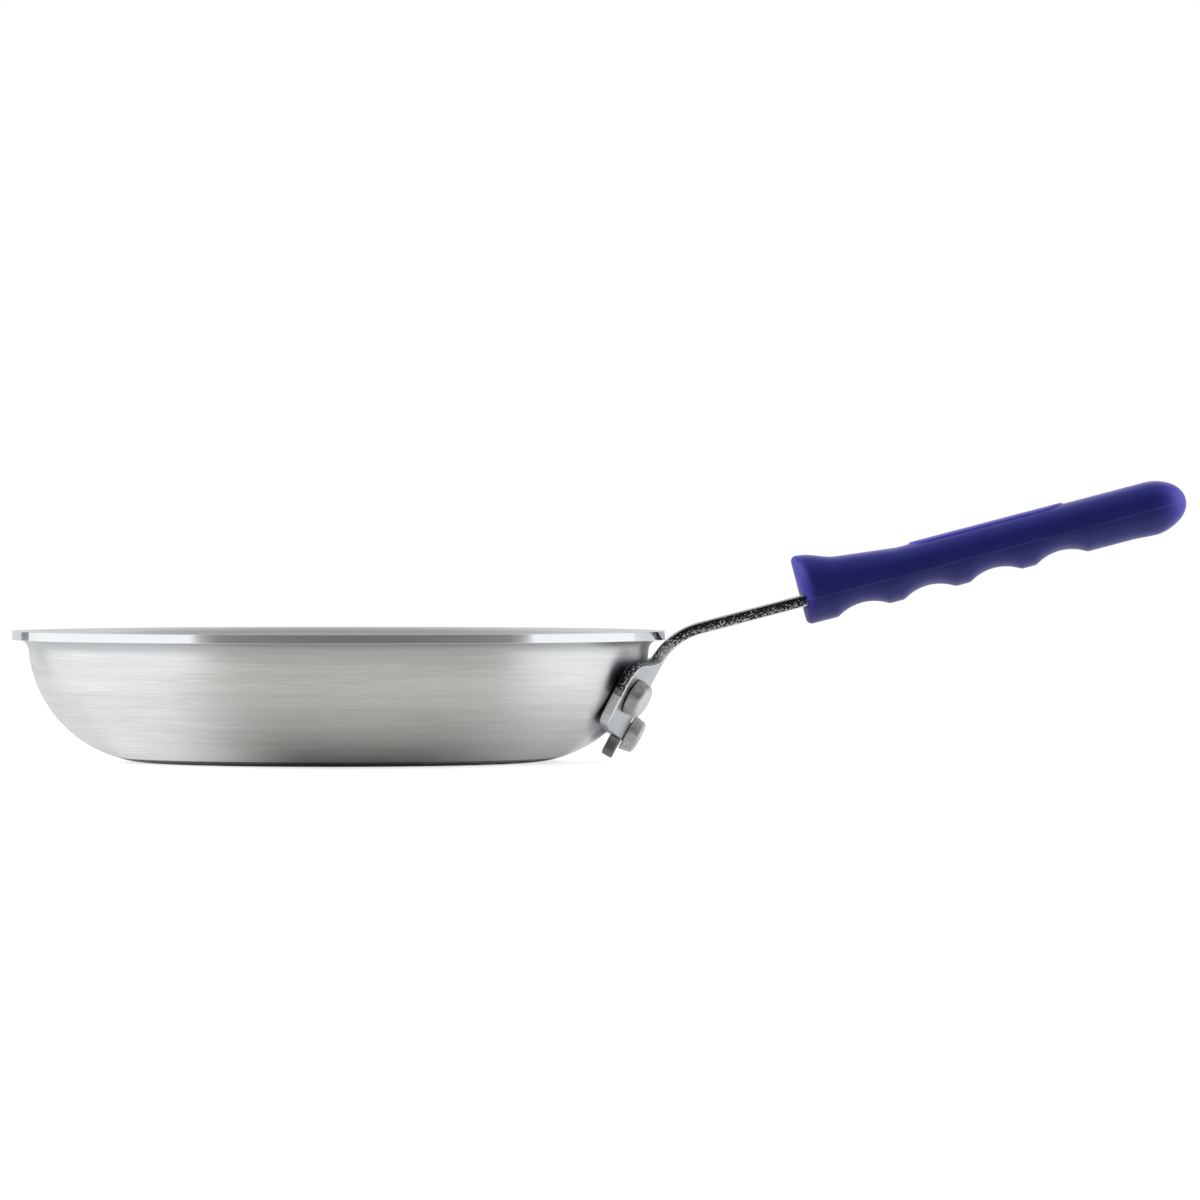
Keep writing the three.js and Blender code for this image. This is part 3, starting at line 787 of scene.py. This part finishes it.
def set_rivet(name, node, distance, across, material):
    """One rivet, with its outer head on the plate and its inner head on the inside of the wall."""
    foot = bent(distance, across, 0)
    axis = bent(distance, across, 1) - foot
    wall_inside = WALL_BEND - SHEET
    flatter = across**2 / 2 * (1 / wall_curve - 1 / plate_curve)
    wall_depth = plate_reach - math.sqrt(wall_inside**2 - distance**2) + flatter
    lean = math.asin(distance / wall_inside)
    inward = -axis * math.cos(lean) - along * math.sin(lean)
    points, faces, _ = revolve(rivet_profile(wall_depth), RIVET_SEGMENTS)
    head, head_faces, _ = revolve(inner_head_profile(), RIVET_SEGMENTS)
    shift = len(points)
    end = BAR_THICKNESS + SEAT_GAP + OUTER_HEAD_HEIGHT
    # Painted highlight: the outer head's end and the whole inner head
    end_highlight = [smoothstep(point.z, end - OUTER_HEAD_ROUND, end) for point in points] + [1] * len(head)
    points = aimed(points, foot, axis) + aimed(head, foot - axis * wall_depth, inward)
    faces = faces + [[i + shift for i in face] for face in head_faces]
    mesh = new_mesh(name, points, faces)
    store(mesh, "end_highlight", end_highlight)
    place(name, mesh, material, node)


# Grip, modelled along +X from its front, with the middle of the bar on the X axis
grip_middle = (GRIP_TOP - GRIP_BOTTOM) / 2
end_start = GRIP_LENGTH - GRIP_END_LENGTH
hollow_radius = ((HOLLOW_WIDTH / 2) ** 2 + HOLLOW_DEPTH**2) / (2 * HOLLOW_DEPTH)


def quarter_rise(share):
    """How far a quarter ellipse has risen after a share of its length."""
    return math.sqrt(1 - (1 - min(1, max(0, share))) ** 2)


def nose_corner(x):
    return NOSE_ROUND * (1 - quarter_rise(x / NOSE_ROUND))


def grip_top(x):
    guard = GUARD_RISE * (1 - smoothstep(x, GUARD_CREST, GUARD_FOOT))
    ramp = RAMP_RISE * max(0, 1 - x / RAMP_END)
    return GRIP_TOP + guard + ramp - nose_corner(x)


def soft_rise(value):
    """Nought below the surface and the value above it, with the corner between them rounded off."""
    near = max(0, 1 - abs(value) / HOLLOW_SOFTNESS)
    return max(0, value) + near * near * HOLLOW_SOFTNESS / 4


def grip_bottom(x):
    nearest = min(HOLLOW_COUNT - 1, max(0, round((x - HOLLOW_FIRST) / HOLLOW_PITCH)))
    offset = min(HOLLOW_WIDTH / 2 + HOLLOW_OVERRUN, abs(x - HOLLOW_FIRST - nearest * HOLLOW_PITCH))
    hollow = soft_rise(math.sqrt(hollow_radius**2 - offset**2) - hollow_radius + HOLLOW_DEPTH)
    bulb = BULB_DROP * (1 - smoothstep(abs(x - end_start), 0, BULB_REACH))
    return -GRIP_BOTTOM + hollow + nose_corner(x) - bulb


def grip_half_width(x):
    flare = GUARD_FLARE * (1 - smoothstep(x, GUARD_CREST, GUARD_FOOT))
    flat = NOSE_FLAT / 2
    return flat + (GRIP_WIDTH / 2 + flare - flat) * quarter_rise(x / NOSE_LENGTH)


def squared(value):
    return math.copysign(abs(value) ** (2 / GRIP_SQUARENESS), value)


def parting_angle(height, reach):
    """The angle on the lower half of a section that lies at a height from the middle of the bar."""
    share = (height - grip_middle) / reach
    return math.asin(math.copysign(abs(share) ** (GRIP_SQUARENESS / 2), share))


def grip_ring(x):
    """A section: an oval squared at its corners, with the parting line of the mould at the bar's height."""
    above = grip_top(x) - grip_middle
    below = grip_middle - grip_bottom(x)
    shrink = quarter_rise((GRIP_LENGTH - x) / GRIP_END_LENGTH)
    lower = spread(-QUARTER, PARTING_BELOW, LOWER_STEPS)
    line = [parting_angle(height, below) for height in PARTING_HEIGHTS]
    upper = spread(PARTING_ABOVE, QUARTER, UPPER_STEPS)
    ridge = [0] * len(lower) + PARTING_RIDGE + [0] * len(upper)
    right = []
    for angle, rise in zip(lower + line + upper, ridge):
        height = squared(math.sin(angle))
        width = grip_half_width(x) * squared(math.cos(angle)) + rise * PARTING_RISE
        reach = above if height > 0 else below
        right.append(Vector((x, width * shrink, grip_middle + reach * height * shrink)))
    left = [Vector((point.x, -point.y, point.z)) for point in reversed(right[1:-1])]
    return right + left


def grip_stations():
    """Places along the grip, close together where its ends are round."""
    turns = spread(0, QUARTER, END_STEPS)
    nose = [NOSE_LENGTH * (1 - math.cos(turn)) for turn in turns]
    middle = spread(NOSE_LENGTH, end_start, LENGTH_STEPS)[1:-1]
    end = [GRIP_LENGTH - GRIP_END_LENGTH * (1 - math.cos(turn)) for turn in reversed(turns[1:])]
    tip = GRIP_LENGTH - GRIP_END_LENGTH * (1 - math.cos(turns[1] / TIP_DIVISION))
    return nose + middle + end + [tip]


def pad_skin():
    """The long oval pad on top: it follows the grip's top at a small height, with a rounded edge.

    With its points and faces goes how much painted light each point gets: the edge gets a painted
    highlight, the flat top none.
    """
    half = PAD_WIDTH / 2
    reach = PAD_LENGTH / 2 - half
    middle = PAD_START + PAD_LENGTH / 2
    section = [(0, -PAD_ROOT)]
    for turn in spread(0, QUARTER, PAD_STEPS):
        section.append((PAD_EDGE * (1 - math.cos(turn)), PAD_RISE * math.sin(turn)))
    section += [(inset, PAD_RISE) for inset in spread(PAD_EDGE, half - PAD_SEAM, PAD_STEPS)[1:]]
    rings = []
    painted_light = []
    for inset, rise in section:
        ring = []
        for end in (1, -1):
            for turn in spread(-QUARTER, QUARTER, PAD_END_STEPS):
                x = middle + end * (reach + (half - inset) * math.cos(turn))
                y = end * (half - inset) * math.sin(turn)
                share = (abs(y) / grip_half_width(x)) ** GRIP_SQUARENESS
                top = (1 - share) ** (1 / GRIP_SQUARENESS)
                ring.append(Vector((x, y, grip_middle + (grip_top(x) - grip_middle) * top + rise)))
        rings.append(ring)
        painted_light += [float(rise < PAD_RISE)] * len(ring)
    points, faces = loft(rings)
    return points, faces, painted_light


def with_pocket(mesh):
    """Cuts the pocket that takes the bar, with its clearance all round and at its end."""
    length = NOSE_LENGTH + bar_in_grip + GRIP_CLEARANCE
    size = Vector((length, 2 * (BAR_HALF + GRIP_CLEARANCE), BAR_THICKNESS + 2 * GRIP_CLEARANCE))
    tool = bmesh.new()
    bmesh.ops.create_cube(tool, size=MM)
    bmesh.ops.scale(tool, vec=size, verts=tool.verts)
    bmesh.ops.translate(tool, vec=(MM * (length / 2 - NOSE_LENGTH), 0, 0), verts=tool.verts)
    tool_mesh = bpy.data.meshes.new("pocket")
    tool.to_mesh(tool_mesh)
    tool.free()
    cutter = bpy.data.objects.new("pocket", tool_mesh)
    whole = bpy.data.objects.new("whole", mesh)
    for item in (cutter, whole):
        bpy.context.scene.collection.objects.link(item)
    cut = whole.modifiers.new("pocket", "BOOLEAN")
    cut.operation = "DIFFERENCE"
    cut.object = cutter
    depsgraph = bpy.context.evaluated_depsgraph_get()
    result = bpy.data.meshes.new_from_object(whole.evaluated_get(depsgraph))
    for item in (cutter, whole):
        bpy.data.objects.remove(item)
    return result


def silicone():
    """Satin blue silicone with a fine grain, a painted highlight along its parting line, and painted light
    on its nose, its round end and the pad's edge.
    """
    paint = Paint(bpy.data.materials.new("silicone"))
    coordinates = paint.add("ShaderNodeTexCoord").outputs["Object"]
    grain = paint.noise(coordinates, 2600, 3)
    cloud = paint.noise(coordinates, 45, 3)
    front, under = bar_at(grip_front)
    middle = (front + under * BAR_THICKNESS / 2).dot(under) * MM
    depth = paint.add("ShaderNodeVectorMath", {0: coordinates, 1: under}, operation="DOT_PRODUCT")
    off_line = paint.math("ABSOLUTE", paint.math("SUBTRACT", depth.outputs["Value"], middle), 0)
    showing = paint.ramp(cloud, 0.42, 0.58, 0.2, 0.7)
    line = paint.ramp(off_line, PARTING_CORE * MM, PARTING_FADE * MM, showing, 0, smooth=True)
    color = paint.blend(cloud, SILICONE_DARK, SILICONE_LIGHT)
    # Painted highlight along the ridge of the parting line
    color = paint.blend(line, color, PARTING_HIGHLIGHT)
    # Painted light on the nose and round end, and a painted highlight on the pad's edge
    color = paint.blend(paint.attribute("painted_light", "Fac"), color, SILICONE_PAINTED_LIGHT)
    return paint.finish(
        Base_Color=color,
        Roughness=paint.ramp(cloud, 0.3, 0.7, 0.40, 0.50),
        Specular_IOR_Level=0.5,
        Sheen_Weight=0.28,
        Sheen_Roughness=0.35,
        Sheen_Tint=SILICONE_SHEEN,
        Normal=paint.bump(grain, 0.00008, 0.35),
    )


def lit_end(x):
    """How much painted light the grip gets at a distance from its front: a little on its nose and its round
    end, where side light falls.
    """
    nose = 1 - smoothstep(x, NOSE_ROUND, NOSE_LENGTH)
    end = smoothstep(x, GRIP_LENGTH - LIT_END_LENGTH, GRIP_LENGTH - NOSE_ROUND)
    return LIT_END_SHARE * max(nose, end)


def moulded_grip():
    points, faces = loft([grip_ring(x) for x in grip_stations()])
    cut = with_pocket(new_mesh("grip_skin", points, faces))
    points, faces, painted_light = pad_skin()
    pad = new_mesh("pad_skin", points, faces)
    joined = bmesh.new()
    joined.from_mesh(cut)
    joined.from_mesh(pad)
    painted_light_layer = joined.verts.layers.float.new("painted_light")
    amounts = [lit_end(vertex.co.x / MM) for vertex in cut.vertices] + painted_light
    for point, amount in zip(joined.verts, amounts):
        point[painted_light_layer] = amount
    bmesh.ops.recalc_face_normals(joined, faces=joined.faces)
    front, under = bar_at(grip_front)
    seat = Matrix.Translation((front + under * BAR_THICKNESS / 2) * MM)
    joined.transform(seat @ Matrix.Rotation(-HANDLE_RISE, 4, "Y"))
    mesh = bpy.data.meshes.new("moulded_grip")
    joined.to_mesh(mesh)
    joined.free()
    place("moulded_grip", mesh, silicone(), "grip")


spun_body()
bar_handle()
rivet_paint = rivet_aluminium()
set_rivet("near_rivet", "rivet_upper_near", upper_row, -RIVET_SPACING / 2, rivet_paint)
set_rivet("far_rivet", "rivet_upper_far", upper_row, RIVET_SPACING / 2, rivet_paint)
set_rivet("low_rivet", "rivet_lower", lower_row, 0, rivet_paint)
moulded_grip()


# Studio: a white floor and surround, and soft panels on both sides and above. The metal also shows a dark
# card in front, a grey and a dark one behind, and one that lies on the floor.
def seen(paint):
    """Two switches: one for the camera alone, and one also for what metal and glass show."""
    rays = paint.add("ShaderNodeLightPath").outputs
    shown = paint.math("MAXIMUM", rays["Is Glossy Ray"], rays["Is Transmission Ray"])
    return rays["Is Camera Ray"], paint.math("MAXIMUM", shown, rays["Is Camera Ray"])


def white_surround():
    """White to the camera. The light and the reflections dim towards the ceiling."""
    world = bpy.data.worlds.new("surround")
    world.use_nodes = True
    bpy.context.scene.world = world
    paint = Paint(world)
    camera_ray, shown = seen(paint)
    direction = paint.add("ShaderNodeTexCoord").outputs["Generated"]
    height = paint.add("ShaderNodeSeparateXYZ", {0: direction}).outputs[2]
    ceiling = paint.ramp(height, 0.35, 0.95, 1.0, CEILING_LEVEL, smooth=True)
    lit = paint.math("MULTIPLY", ceiling, paint.ramp(shown, 0, 1, AMBIENT_LEVEL, 1.0))
    background = world.node_tree.nodes["Background"]
    background.inputs["Color"].default_value = WHITE
    paint.fill(background, {"Strength": paint.ramp(camera_ray, 0, 1, lit, 1.0)})


def white_floor():
    """Matt and pale. A glow makes it as white as the surround, and leaves the shadow under the pan."""
    paint = Paint(bpy.data.materials.new("white_floor"))
    camera_ray, shown = seen(paint)
    spot = paint.add("ShaderNodeTexCoord").outputs["Object"]
    distance = paint.add("ShaderNodeVectorMath", {0: spot}, operation="LENGTH").outputs["Value"]
    far = paint.ramp(distance, NEAR_FLOOR, FAR_FLOOR, 0, 1)
    near_glow = paint.math("MULTIPLY", camera_ray, FLOOR_GLOW)
    far_glow = paint.math("MULTIPLY", shown, FAR_GLOW)
    glow = paint.ramp(far, 0, 1, near_glow, far_glow)
    paint.finish(Base_Color=FLOOR_GREY, Roughness=0.9, Emission_Color=WHITE, Emission_Strength=glow)
    bpy.ops.mesh.primitive_circle_add(vertices=FLOOR_SEGMENTS, radius=FLOOR_RADIUS, fill_type="NGON")
    floor = bpy.context.object
    floor.name = "floor"
    floor.data.materials.append(paint.material)


def soft_panel(name, location, width, height, radiance):
    """A soft rectangle of light facing the pan. The metal shows the white surround in its place."""
    light = bpy.data.lights.new(name, "AREA")
    light.shape = "RECTANGLE"
    light.size = width
    light.size_y = height
    light.energy = math.pi * width * height * radiance
    panel = bpy.data.objects.new(name, light)
    panel.location = location
    aim = PANEL_AIM - Vector(location)
    panel.rotation_euler = aim.to_track_quat("-Z", "Y").to_euler()
    panel.visible_glossy = False
    bpy.context.scene.collection.objects.link(panel)


def off_front(turn, radius):
    """How far a place is to the left of the pan's front and to its right. The front widens further out."""
    near = min(1, FRONT_NEAR / radius)
    soft = FAR_SOFT + (NEAR_SOFT - FAR_SOFT) * near
    left = FAR_LEFT + (NEAR_LEFT - FAR_LEFT) * near
    right = FAR_RIGHT + (NEAR_RIGHT - FAR_RIGHT) * near
    return 1 - smoothstep(turn, left - soft, left + soft), smoothstep(turn, right - soft, right + soft)


def behind(turn, radius):
    """How far a place is behind the pan's ends. The back starts further round the further out it is."""
    nearest = BACK_LEFT if turn < 0 else BACK_RIGHT
    edge = max(nearest, BACK_FAR - BACK_NEARING / radius)
    return smoothstep(abs(turn), edge - BACK_FADE_BEFORE, edge + BACK_FADE_AFTER)


def card(name, turns, rows, soft=0, bow=0, lights=False):
    """A card bent round the pan, hidden from the camera.

    Each row has a radius, a height, and the levels of light on the left, in front, on the right and behind.
    From the middle of the card to its ends the level grows by the bow, and at the very ends to white over a
    soft angle.
    """
    points = []
    levels = []
    sides = []
    middle = (turns[0] + turns[-1]) / 2
    for radius, height, on_left, in_front, on_right, at_back in rows:
        for turn in turns:
            angle = math.radians(turn)
            points.append((radius * math.sin(angle), -radius * math.cos(angle), height))
            left, right = off_front(turn, radius)
            level = in_front + (on_left - in_front) * left + (on_right - in_front) * right
            level += (at_back - level) * behind(turn, radius)
            level += bow * ((turn - middle) / (turns[-1] - middle)) ** 2
            inside = min(turn - turns[0], turns[-1] - turn)
            white = 1 - smoothstep(inside, 0, soft) if soft else 0
            levels.append(level + (1 - level) * white)
            sides.append(max(left, right))
    count = len(turns)
    faces = []
    for start in range(0, len(points) - count, count):
        for i in range(start, start + count - 1):
            faces.append([i, i + 1, i + count + 1, i + count])
    mesh = bpy.data.meshes.new(name)
    mesh.from_pydata(points, [], faces)
    store(mesh, "level", levels)
    store(mesh, "sides", sides)
    paint = Paint(bpy.data.materials.new(name))
    paint.finish(
        Base_Color=CARD_BLACK,
        Roughness=1,
        Emission_Color=paint.blend(paint.attribute("sides", "Fac"), CARD_WARM, CARD_COOL),
        Emission_Strength=paint.attribute("level", "Fac"),
    )
    mesh.materials.append(paint.material)
    sheet = bpy.data.objects.new(name, mesh)
    bpy.context.scene.collection.objects.link(sheet)
    sheet.visible_camera = False
    sheet.visible_shadow = False
    sheet.visible_transmission = False
    sheet.visible_diffuse = lights


def upright(level):
    """The two rows of an upright card of one level."""
    return [(CARD_RADIUS, height, level, level, level, level) for height in (0, CARD_TOP)]


def camera():
    """A long lens, nearly level with the rim and square to the handle, as in the photograph."""
    data = bpy.data.cameras.new("camera")
    data.sensor_width = CAMERA_FILM
    data.lens = CAMERA_LENS
    data.clip_end = CAMERA_REACH
    eye = bpy.data.objects.new("camera", data)
    eye.location = (CAMERA_X, -CAMERA_BACK, CAMERA_HEIGHT)
    aim = Vector((CAMERA_X, 0, CAMERA_AIM)) - eye.location
    eye.rotation_euler = aim.to_track_quat("-Z", "Y").to_euler()
    bpy.context.scene.collection.objects.link(eye)
    bpy.context.scene.camera = eye


white_surround()
white_floor()
soft_panel("left_panel", (-1.2, 0.3, 0.5), 1.2, 1.2, SIDE_RADIANCE)
soft_panel("right_panel", (1.5, 0.3, 0.5), 1.0, 1.2, SIDE_RADIANCE)
soft_panel("top_panel", (0.1, 0.2, 1.8), 1.8, 1.8, TOP_RADIANCE)

card(
    "front_card",
    spread(*FRONT_CARD_TURNS, 61),
    upright(FRONT_CARD_LEVEL),
    soft=FRONT_CARD_SOFT,
    bow=FRONT_CARD_BOW,
    lights=True,
)
card("gap_card", spread(*GAP_CARD_TURNS, 9), upright(GAP_CARD_LEVEL))
card("back_card", spread(*BACK_CARD_TURNS, 35), upright(BACK_CARD_LEVEL))

# Rings of the card on the floor: radius, then the levels on the left, in front, on the right and behind
floor_levels = (
    (0.070, 0.35, 0.02, 0.12, 0.30),
    (0.080, 0.55, 0.035, 0.20, 0.50),
    (0.092, 0.85, 0.15, 0.38, 0.72),
    (0.105, 0.90, 0.32, 0.50, 0.75),
    (0.120, 0.90, 0.45, 0.63, 0.75),
    (0.160, 0.95, 0.61, 0.96, 0.77),
    (0.250, 1.00, 0.63, 1.00, 0.77),
    (0.400, 1.00, 0.54, 0.85, 0.70),
    (0.800, 1.00, 0.13, 1.00, 0.70),
    (CARD_RADIUS, 1.00, 0.10, 1.00, 0.70),
)
floor_rows = [(radius, FLOOR_CARD_HEIGHT, *levels) for radius, *levels in floor_levels]
card("floor_card", spread(-180, 180, 180), floor_rows)
camera()
bpy.context.scene.view_settings.view_transform = "Standard"
